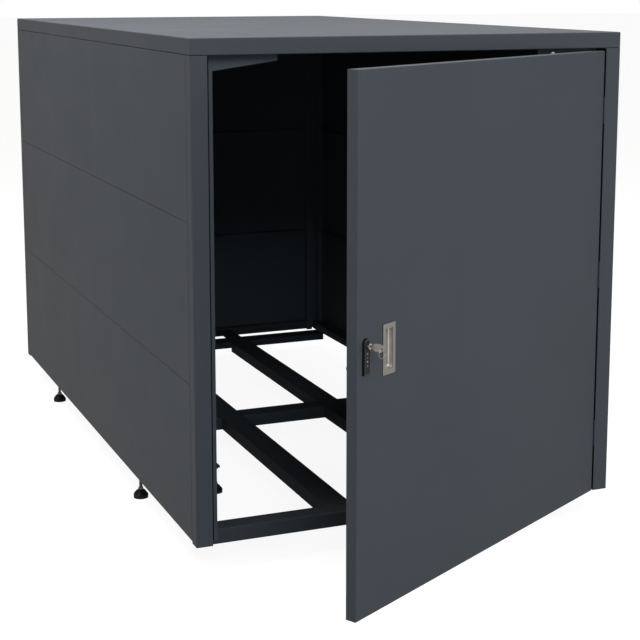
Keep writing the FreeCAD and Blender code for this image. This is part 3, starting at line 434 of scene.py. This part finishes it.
def round_corner_points(low, high, radius, steps=6):
    """Points of a rectangle with round corners, anticlockwise."""
    left, right = low[0] + radius, high[0] - radius
    foot, head = low[1] + radius, high[1] - radius
    points = []
    for x, z, start in ((right, foot, -90), (right, head, 0), (left, head, 90), (left, foot, 180)):
        for k in range(steps + 1):
            turn = math.radians(start + 90.0 * k / steps)
            points.append((x + radius * math.cos(turn), z + radius * math.sin(turn)))
    return points


def door_band(shape, outer, inner, back, front_y, crown):
    """Adds a closed band on the door between two outlines, from y = back out to y = front_y.

    Its middle stands crown over its edges.
    """
    middle = [((a[0] + b[0]) / 2, (a[1] + b[1]) / 2) for a, b in zip(outer, inner)]
    rows = [[shape.verts.new(in_door(x, y, z)) for x, z in outline]
            for outline, y in ((outer, back), (outer, front_y + crown), (middle, front_y),
                               (inner, front_y + crown), (inner, back))]
    bridge(shape, rows + rows[:1])


def weld_bead(shape, start, end, radius, ripple=2.6):
    """Adds a rippled weld bead between two points of the row frame, all in millimetres."""
    start, end = Vector(start), Vector(end)
    along = (end - start).normalized()
    slant = Vector((0.3, 0.4, 0.87))
    side = along.cross(slant).normalized()
    other = along.cross(side)
    count = max(4, int((end - start).length / ripple) * 2)
    rings = []
    for k in range(count + 1):
        share = k / count
        middle = start.lerp(end, share)
        taper = min(1.0, 0.45 + 6.0 * min(share, 1.0 - share))
        wave = 1.0 if k % 2 else 0.84
        sway = 1.0 + 0.06 * math.sin(k * 1.7)
        reach = radius * taper * wave * sway
        rings.append([shape.verts.new((middle + reach * (side * math.cos(turn)
                                                         + other * math.sin(turn))) * MM)
                      for turn in turns(8)])
    capped(shape, rings)


# Levelling feet: real threads, chamfered hexagons and ribbed pads, in millimetres

STEM_RADIUS = 5.0
STEM_CORE = 4.3
THREAD_PITCH = 1.75
THREAD_DEPTH = 0.75
COLLAR_FLATS = 13.0
COLLAR_HEIGHT = 7.0
COLLAR_CHAMFER = 0.8
RIBS = 8
RIB_HALF = 1.3
RIB_OUTLINE = [(8.6, 7.0), (21.4, 7.0), (21.4, 10.5), (19.6, 13.6), (13.6, 20.6), (11.4, 22.6),
               (8.6, 22.8)]


def make_foot_details(foot):
    middle = node_middle(foot + "_pad")
    place = Matrix.Translation(Vector((middle.x, middle.y, 0.0)))
    pad_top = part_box(foot + "_pad")[1].z
    stem_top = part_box(foot + "_stem")[1].z

    def stem(shape):
        hex_collar(shape, place, COLLAR_FLATS * MM, pad_top, pad_top + COLLAR_HEIGHT * MM,
                   COLLAR_CHAMFER * MM)
        core = STEM_CORE * MM
        core_low = pad_top + (COLLAR_HEIGHT - 0.5) * MM
        lathe(shape, [(0.0, core_low), (core, core_low), (core, stem_top), (0.0, stem_top)],
              place, 20)
        threaded_rod(shape, place, pad_top + (COLLAR_HEIGHT + 0.5) * MM, stem_top - 0.3 * MM,
                     STEM_RADIUS * MM, THREAD_PITCH * MM, THREAD_DEPTH * MM, 18)

    screw = mesh_object(foot + "_thread", stem, black_zinc, foot)
    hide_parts(foot + "_stem")

    def ribs(shape):
        for k in range(RIBS):
            turn = Matrix.Rotation(math.radians(360.0 / RIBS * (k + 0.5)), 4, "Z")
            near, far = [[shape.verts.new(place @ turn @ Vector((x * MM, half * MM, z * MM)))
                          for x, z in RIB_OUTLINE] for half in (-RIB_HALF, RIB_HALF)]
            capped(shape, [near, far])

    grips = mesh_object(foot + "_ribs", ribs, MATERIALS["foot_black"], foot)
    soften(grips, 0.5)


dress(nodes["foot_lock_nuts"], black_zinc)
for body_name in frame["record"]["behaviour"]["bodies"]:
    if body_name.startswith("foot_"):
        make_foot_details(body_name)

# Welds


def make_frame_welds():
    """Beads where the members of the base frame and the inner feet's arms meet."""
    front = FRONT / MM
    top = BASE / MM + 30.0
    sill_front, sill_back = front + 32.0, front + 90.0
    rail_near, rail_far = 141.0, 213.0
    mid_front, mid_back = front + 962.0, front + 1028.0
    rear_front, rear_back = front + 1914.0, front + 1987.0
    tab_near, tab_far = 149.0, 205.0
    side_rail = 558.5
    arm_front, arm_back = front + 580.0, front + 620.0
    arm_corner = BASE / MM + 5.2
    low = top - 1.1
    flat = top - 1.0

    right_half = [
        ((rail_near, sill_back + 0.6, low), (rail_far, sill_back + 0.6, low), 2.3),
        ((rail_near, sill_back + 0.9, top - 3.0), (rail_near, sill_back + 0.9, top - 37.0), 1.9),
        ((rail_far, sill_back + 0.9, top - 3.0), (rail_far, sill_back + 0.9, top - 37.0), 1.9),
        ((rail_near, rear_front - 0.6, low), (rail_far, rear_front - 0.6, low), 2.3),
    ]
    for x in (rail_near - 0.6, rail_far + 0.6):
        right_half += [
            ((x, mid_front + 1.0, low), (x, mid_back - 1.0, low), 2.3),
            ((x, mid_front - 0.2, top - 4.0), (x, mid_front - 0.2, top - 36.0), 1.7),
        ]
    right_half.append(((tab_near + 0.5, rear_back + 0.4, flat),
                       (tab_far - 0.5, rear_back + 0.4, flat), 2.0))
    for y_from, y_to in ((sill_front + 2.0, sill_back - 2.0), (mid_front + 1.0, mid_back - 1.0)):
        right_half.append(((side_rail - 0.6, y_from, flat), (side_rail - 0.6, y_to, flat), 2.0))
    for y in (arm_front, arm_back):
        right_half.append(((side_rail + 18.5, y, arm_corner),
                           (side_rail + 1.0, y, arm_corner), 1.8))
    right_half.append(((side_rail + 0.1, arm_front + 1.0, arm_corner),
                       (side_rail + 0.1, arm_back - 1.0, arm_corner), 1.8))

    def beads(shape):
        for side in (-1, 1):
            for start, end, radius in right_half:
                weld_bead(shape, (side * start[0], *start[1:]), (side * end[0], *end[1:]), radius)

    mesh_object("frame_welds", beads, MATERIALS["powder_coat_frame"], "root",
                60.0)


make_frame_welds()

# Spot welds that hold the stiffeners inside the door, in millimetres
STIFFENERS = (331.5, 701.5)
FLANGE_OFFSET = 34.0
SPOTS = 10
FIRST_SPOT = 60.0
SPOT_PITCH = 121.5
SPOT_PROFILE = ((0.0, 0.0), (3.4, 0.0), (3.0, 0.25), (2.0, 0.12), (0.0, 0.10))


def make_door_spot_welds():
    """Shallow round marks on the flanges of the stiffeners."""
    flange_face = DOOR_FACE + 3.0

    def marks(shape):
        for stiffener in STIFFENERS:
            for offset in (-FLANGE_OFFSET, FLANGE_OFFSET):
                for k in range(SPOTS):
                    centre = in_door(-(stiffener + offset), flange_face,
                                     FIRST_SPOT + k * SPOT_PITCH)
                    spot = on_door(centre, Matrix.Rotation(math.radians(-90), 4, "X"))
                    lathe(shape, metres(SPOT_PROFILE), spot, 16)

    mesh_object("door_spot_welds", marks, MATERIALS["powder_coat"], "door")


make_door_spot_welds()

# Black rubber strips and cords in the seams of the walls, under the fascia, in the hinge gap and on the stops:
# painted shade in those seams and gaps

SHADE_STRIP_LOW = BASE + 3.0 * MM
SHADE_STRIP_HIGH = roof_low.z - 3.0 * MM


def seal_object(name, mesh_maker):
    return mesh_object(name, mesh_maker, shade_strip_rubber, "root", 60.0)


def cord(shape, points, radius):
    """Adds a round cord along a level line of points, all in metres."""
    points = [Vector(point) for point in points]
    up = Vector((0, 0, 1))
    rings = []
    for k, point in enumerate(points):
        before = points[max(k - 1, 0)]
        after = points[min(k + 1, len(points) - 1)]
        along = (after - before).normalized()
        side = Vector((along.y, -along.x, 0.0))
        rings.append([shape.verts.new(point + radius * (side * math.cos(turn)
                                                        + up * math.sin(turn)))
                      for turn in turns(8)])
    capped(shape, rings)


def strip(shape, x_from, x_to, y_from, y_to, low, high):
    """Adds a flat upright strip, all in metres."""
    outline = ((x_from, y_from), (x_to, y_from), (x_to, y_to), (x_from, y_to))
    capped(shape, [[shape.verts.new((x, y, z)) for x, y in outline] for z in (low, high)])


def make_door_rest_seals():
    """Black rubber strips on the stop flanges, which the closed door rests against: painted shade for the dark
    line at the reveal.
    """
    width = 11.0 * MM
    y_from, y_to = FRONT + (POST_REVEAL - 1.6) * MM, FRONT + (POST_REVEAL + 0.1) * MM
    left, right = LEFT + POST_FACE * MM, RIGHT - POST_FACE * MM

    def strips(shape):
        for x_from, x_to in ((left, left + width), (right - width, right)):
            strip(shape, x_from, x_to, y_from, y_to, SHADE_STRIP_LOW, SHADE_STRIP_HIGH)

    soften(seal_object("stop_shade_strips", strips), 0.4)


def make_wall_seals():
    """Black cords that lie in the seams between the wall panels: painted shade in the seams."""
    radius = 0.72 * MM
    inset = 1.15 * MM
    panel_low, panel_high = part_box("left_panel_middle")
    back_low, back_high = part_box("back_panel_middle")

    def cords(shape):
        for z in (panel_low.z, panel_high.z):
            for x in (LEFT + inset, RIGHT - inset):
                cord(shape, [(x, panel_low.y, z), (x, panel_high.y, z)], radius)
            cord(shape, [(back_low.x, BACK - inset, z), (back_high.x, BACK - inset, z)], radius)

    seal_object("wall_seam_shade_cords", cords)


def make_roof_seal():
    """Black cord under the fascia, round three sides and over the two doorposts: a painted shade line under the
    fascia.
    """
    radius = 0.85 * MM
    inset = 1.35 * MM
    corner = 1.65 * MM
    z = roof_low.z + 0.75 * MM
    left, right = LEFT + inset, RIGHT - inset
    near, far = FRONT + inset, BACK - inset
    path = [(LEFT + POST_FACE * MM, near, z)]
    for x, y, start in ((left + corner, near + corner, 270), (left + corner, far - corner, 180),
                        (right - corner, far - corner, 90), (right - corner, near + corner, 0)):
        for k in range(5):
            turn = math.radians(start - 22.5 * k)
            path.append((x + corner * math.cos(turn), y + corner * math.sin(turn), z))
    path.append((RIGHT - POST_FACE * MM, near, z))

    def loop(shape):
        cord(shape, path, radius)

    seal_object("fascia_shade_cord", loop)


def make_hinge_gap_seal():
    """Black rubber strips on the right post's reveal, between the leaves of the hinges: painted shade in the hinge
    gap.
    """
    leaf_sheet = 1.2
    leaf_half = 35.0
    outer = RIGHT - (POST_FACE - leaf_sheet) * MM
    inner = HINGE.x + 0.3 * MM
    hinge_low, hinge_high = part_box("hinge_frame_leaves")
    first = hinge_low.z + leaf_half * MM
    last = hinge_high.z - leaf_half * MM
    places = (first, (first + last) / 2, last)
    clear = (leaf_half + 1.5) * MM
    starts = [SHADE_STRIP_LOW] + [place + clear for place in places]
    ends = [place - clear for place in places] + [SHADE_STRIP_HIGH]

    def strips(shape):
        for low, high in zip(starts, ends):
            strip(shape, inner, outer, FRONT + 0.35 * MM, FRONT + 13.0 * MM, low, high)

    soften(seal_object("hinge_gap_shade_strips", strips), 0.25)


make_door_rest_seals()
make_wall_seals()
make_roof_seal()
make_hinge_gap_seal()

# Lock, pull and key, in millimetres. A black gasket spills over the edge of the plate that it seals, as a painted
# shade line round the plate.

SHADE_LINE_SPILL = 0.9
BEZEL_PROFILE = ((6.0, -0.2), (7.9, -0.2), (7.9, 0.7), (7.4, 1.2), (6.4, 1.2), (6.0, 0.9),
                 (6.0, -0.2))


# The dark spill round a plate on the door is painted shade, a shade line along the plate's edge
def gasket_object(name, outer, inner, proud):
    def band(shape):
        door_band(shape, outer, inner, DOOR_FACE + 0.2, DOOR_FACE - proud, 0.2)

    mesh_object(name, band, MATERIALS["foot_black"], "door", 50.0)


def lock_outline(foot_inset, inset):
    """The lock's outline, moved inwards at its foot and round its sides and top."""
    arch_centre = LOCK_LOW + LOCK_HEIGHT - LOCK_HALF
    return arch_points(LOCK_X, LOCK_LOW + foot_inset, arch_centre, LOCK_HALF - inset)


def make_lock_details():
    """Raised rim round the lock's face, painted paler as a painted highlight, a black gasket behind it whose spill
    is a painted shade line round the lock, and bezel round the cylinder.
    """

    def rim(shape):
        door_band(shape, lock_outline(1.2, 1.3), lock_outline(2.5, 2.5), LOCK_FRONT + 0.3,
                  LOCK_FRONT - 0.7, 0.25)

    mesh_object("lock_rim", rim, lock_rim_highlight, "door", 50.0)

    tuck = 0.6
    gasket_object("lock_shade_line_gasket", lock_outline(-SHADE_LINE_SPILL, -SHADE_LINE_SPILL),
                  lock_outline(tuck, tuck), 0.8)

    def bezel(shape):
        place = on_door(in_door(LOCK_X, LOCK_FRONT, PLUG_Z),
                        Matrix.Rotation(math.radians(90), 4, "X"))
        lathe(shape, metres(BEZEL_PROFILE), place)

    mesh_object("lock_bezel", bezel, MATERIALS["lock_black"], "door", 40.0)


make_lock_details()

# The digit that stands in each dial's window at rest, from the lowest dial up
DIAL_START = (3, 0, 7, 5)
DIGIT_SIZE = 5.2
DIGIT_HALF_DEPTH = 0.08
DIGIT_WEIGHT = 0.12
DIGIT_STAND_OFF = 0.02


def digit_shape(digit):
    """The mesh of one raised numeral, centred, in millimetres."""
    curve = bpy.data.curves.new("numeral", "FONT")
    curve.body = str(digit)
    curve.size = DIGIT_SIZE
    curve.align_x = "CENTER"
    curve.align_y = "CENTER"
    curve.extrude = DIGIT_HALF_DEPTH
    curve.offset = DIGIT_WEIGHT
    curve.resolution_u = 3
    holder = bpy.data.objects.new("numeral", curve)
    mesh = bpy.data.meshes.new_from_object(holder)
    bpy.data.objects.remove(holder)
    bpy.data.curves.remove(curve)
    return mesh


def make_dial_numbers():
    digits = [digit_shape(digit) for digit in range(DIAL_FACETS)]
    reach = DIAL_FLAT + DIGIT_STAND_OFF
    for number, start_digit in enumerate(DIAL_START, 1):
        axis = DOOR.inverted() @ Vector(joints["dial_%d_turn" % number]["pos_m"]) / MM

        def numerals(shape):
            for facet, turn in enumerate(turns(DIAL_FACETS)):
                centre = in_door(axis.x + reach * math.sin(turn), axis.y - reach * math.cos(turn),
                                 axis.z)
                upright = Matrix.Rotation(turn, 4, "Z") @ Matrix.Rotation(math.radians(90), 4, "X")
                place = on_door(centre, upright) @ Matrix.Scale(MM, 4)
                before = len(shape.verts)
                shape.from_mesh(digits[(start_digit + facet) % DIAL_FACETS])
                shape.verts.ensure_lookup_table()
                bmesh.ops.transform(shape, matrix=place, verts=shape.verts[before:])

        mesh_object("dial_%d_numbers" % number, numerals, pale_print, "dial_%d" % number)
    for mesh in digits:
        bpy.data.meshes.remove(mesh)


make_dial_numbers()


def pull_outline(inset):
    """The outline of the pull's plate, moved inwards."""
    return round_corner_points(
        (PULL_X - PULL_HALF + inset, PULL_LOW + inset),
        (PULL_X + PULL_HALF - inset, PULL_LOW + PULL_HEIGHT - inset), PULL_CORNER - inset)


# The pull's black gasket spills round the plate as a painted shade line
gasket_object("pull_shade_line_gasket", pull_outline(-SHADE_LINE_SPILL), pull_outline(0.5), 0.7)


def make_split_ring():
    """Split ring of two turns of wire, in the place of the plain ring."""
    middle = node_middle("key_ring")
    across, axis = DOOR_TURN @ Vector((1, 0, 0)), DOOR_TURN @ Vector((0, 1, 0))
    up = Vector((0, 0, 1))
    reach = 10.3 * MM
    wire = 0.42 * MM
    wire_out, wire_along = wire * 1.25, wire * 0.96
    steps = 128
    start = math.radians(200)
    crossing, crossing_width = 0.46, 0.08

    def coil(shape):
        rings = []
        for k in range(steps + 1):
            share = k / steps
            turn = 4 * math.pi * share + start
            cross = min(max((share - crossing) / crossing_width, 0.0), 1.0)
            cross = cross * cross * (3 - 2 * cross)
            shift = (cross * 2 - 1) * wire * 1.02
            out = across * math.cos(turn) + up * math.sin(turn)
            centre = middle + out * reach + axis * shift
            rings.append([shape.verts.new(centre + out * (wire_out * math.cos(round_turn))
                                          + axis * (wire_along * math.sin(round_turn)))
                          for round_turn in turns(10)])
        capped(shape, rings)

    ring = mesh_object("split_ring", coil, MATERIALS["key_nickel"], "ring", 50.0)
    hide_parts("key_ring")


make_split_ring()

# Rounding of the edges of sheet-metal and turned parts, in millimetres
EDGE_WIDTHS = {
    0.4: ["gusset_left", "gusset_right", "frame_tabs", "foot_arms", "foot_lock_nuts", "lock_nut",
          "lock_cam", "gusset_bolt"],
    0.3: ["handle_shell", "lock_body", "hinge_frame_leaves", "hinge_door_leaves",
          "door_stiffeners", "key"],
    0.25: ["lock_plug", "dial_1", "dial_2", "dial_3", "dial_4"],
}
for edge_width, names in EDGE_WIDTHS.items():
    for name in names:
        soften(nodes[name], edge_width)

# Stage

FLOOR_HALF = 60.0
FLOOR_TONES = (0.15, 0.17)
FLOOR_GLOW = 0.92
AMBIENT_COLOUR = (1.0, 0.97, 0.90)
AMBIENT_STRENGTH = 0.23


def seen_directly(tree):
    """1 for camera, transmission and glossy rays, and 0 for the light that the object gets."""
    rays = tree.nodes.new("ShaderNodeLightPath")
    total = rays.outputs["Is Camera Ray"]
    for kind in ("Is Transmission Ray", "Is Glossy Ray"):
        also = tree.nodes.new("ShaderNodeMath")
        also.operation = "ADD"
        also.use_clamp = True
        tree.links.new(total, also.inputs[0])
        tree.links.new(rays.outputs[kind], also.inputs[1])
        total = also.outputs[0]
    return total


def pale_stage_material():
    """Pale floor: white to the camera and in reflections, with the object's shadow kept."""
    material = bpy.data.materials.new("pale_floor")
    material.use_nodes = True
    tree = material.node_tree
    tree.nodes.clear()
    output = tree.nodes.new("ShaderNodeOutputMaterial")
    total = tree.nodes.new("ShaderNodeAddShader")
    lit = tree.nodes.new("ShaderNodeBsdfDiffuse")
    glow = tree.nodes.new("ShaderNodeEmission")
    noise = tree.nodes.new("ShaderNodeTexNoise")
    noise.inputs["Scale"].default_value = 1.5
    tone = tree.nodes.new("ShaderNodeMix")
    tone.data_type = "RGBA"
    for socket, grey in zip((tone.inputs[6], tone.inputs[7]), FLOOR_TONES):
        socket.default_value = (grey, grey, grey, 1.0)
    tree.links.new(noise.outputs["Fac"], tone.inputs[0])
    tree.links.new(tone.outputs[2], lit.inputs["Color"])
    strength = tree.nodes.new("ShaderNodeMath")
    strength.operation = "MULTIPLY"
    strength.inputs[1].default_value = FLOOR_GLOW
    tree.links.new(seen_directly(tree), strength.inputs[0])
    tree.links.new(strength.outputs[0], glow.inputs["Strength"])
    tree.links.new(lit.outputs[0], total.inputs[0])
    tree.links.new(glow.outputs[0], total.inputs[1])
    tree.links.new(total.outputs[0], output.inputs["Surface"])
    return material


def make_floor():
    half = FLOOR_HALF
    mesh = bpy.data.meshes.new("stage_floor")
    mesh.from_pydata([(-half, -half, 0), (half, -half, 0), (half, half, 0), (-half, half, 0)], [],
                     [(0, 1, 2, 3)])
    floor = bpy.data.objects.new("stage_floor", mesh)
    bpy.context.scene.collection.objects.link(floor)
    mesh.materials.append(pale_stage_material())


def make_world():
    """Soft ambient light, and white wherever the camera or a reflection sees past the floor."""
    world = bpy.data.worlds.new("studio")
    bpy.context.scene.world = world
    world.use_nodes = True
    tree = world.node_tree
    tree.nodes.clear()
    output = tree.nodes.new("ShaderNodeOutputWorld")
    ambient = tree.nodes.new("ShaderNodeBackground")
    ambient.inputs["Color"].default_value = (*AMBIENT_COLOUR, 1.0)
    ambient.inputs["Strength"].default_value = AMBIENT_STRENGTH
    white = tree.nodes.new("ShaderNodeBackground")
    white.inputs["Color"].default_value = (1.0, 1.0, 1.0, 1.0)
    white.inputs["Strength"].default_value = 1.0
    choice = tree.nodes.new("ShaderNodeMixShader")
    tree.links.new(seen_directly(tree), choice.inputs[0])
    tree.links.new(ambient.outputs[0], choice.inputs[1])
    tree.links.new(white.outputs[0], choice.inputs[2])
    tree.links.new(choice.outputs[0], output.inputs["Surface"])


# Each lamp's place, the point that it faces, its width and height in metres, its power in
# watts and its colour
WHITE = (1.0, 1.0, 1.0)
LAMPS = {
    "key_left": ((-2.6, -0.8, 4.8), (-0.6, 0.0, 1.0), (2.5, 2.5), 90.0, (1.0, 0.91, 0.76)),
    "fill_right": ((4.2, -4.6, 1.3), (0.0, -0.9, 0.3), (3.0, 2.2), 118.0, (1.0, 0.985, 0.96)),
    "front": ((-0.9, -5.8, 4.4), (0.0, -0.7, 0.9), (2.6, 2.6), 250.0, (0.88, 0.945, 1.0)),
    "rear": ((2.2, 5.4, 0.75), (0.0, 1.0, 0.7), (3.0, 1.1), 70.0, WHITE),
    "top": ((-0.8, 0.3, 4.6), (-0.2, 0.3, 1.3), (3.0, 4.0), 225.0, WHITE),
    "doorway": ((-2.2, -5.5, 1.2), (0.2, 1.2, 0.6), (1.5, 1.5), 28.0, (0.75, 0.90, 1.0)),
}


def softbox(name, place, target, size, power, colour):
    data = bpy.data.lights.new(name, "AREA")
    data.shape = "RECTANGLE"
    data.size, data.size_y = size
    data.energy = power
    data.color = colour
    lamp = bpy.data.objects.new(name, data)
    bpy.context.scene.collection.objects.link(lamp)
    lamp.location = place
    direction = Vector(target) - Vector(place)
    lamp.rotation_mode = "QUATERNION"
    lamp.rotation_quaternion = direction.to_track_quat("-Z", "Y")


# The camera as solved on the locker's corners. Its place counts from the front left corner of
# the body's base, in metres; the focal length and the shift are in pixels of the photograph.
PICTURE_WIDTH = 640.0
SENSOR_WIDTH = 36.0
FOCAL_LENGTH = 1487.4
PICTURE_SHIFT = -90.0
CAMERA_YAW = math.radians(22.095)
CAMERA_PITCH = math.radians(9.430)
CAMERA_PLACE = (LEFT - 1.0484, FRONT - 3.4042, BASE + 1.3988)


def make_camera():
    data = bpy.data.cameras.new("camera")
    data.sensor_width = SENSOR_WIDTH
    data.lens = FOCAL_LENGTH / PICTURE_WIDTH * SENSOR_WIDTH
    data.shift_y = PICTURE_SHIFT / PICTURE_WIDTH
    data.clip_start = 0.1
    data.clip_end = 200.0
    camera = bpy.data.objects.new("camera", data)
    bpy.context.scene.collection.objects.link(camera)
    camera.location = CAMERA_PLACE
    view = Vector((math.sin(CAMERA_YAW) * math.cos(CAMERA_PITCH),
                   math.cos(CAMERA_YAW) * math.cos(CAMERA_PITCH), -math.sin(CAMERA_PITCH)))
    camera.rotation_mode = "QUATERNION"
    camera.rotation_quaternion = view.to_track_quat("-Z", "Y")
    bpy.context.scene.camera = camera


make_floor()
make_world()
for lamp_name, lamp_values in LAMPS.items():
    softbox(lamp_name, *lamp_values)
make_camera()

bpy.context.scene.view_settings.view_transform = "Standard"
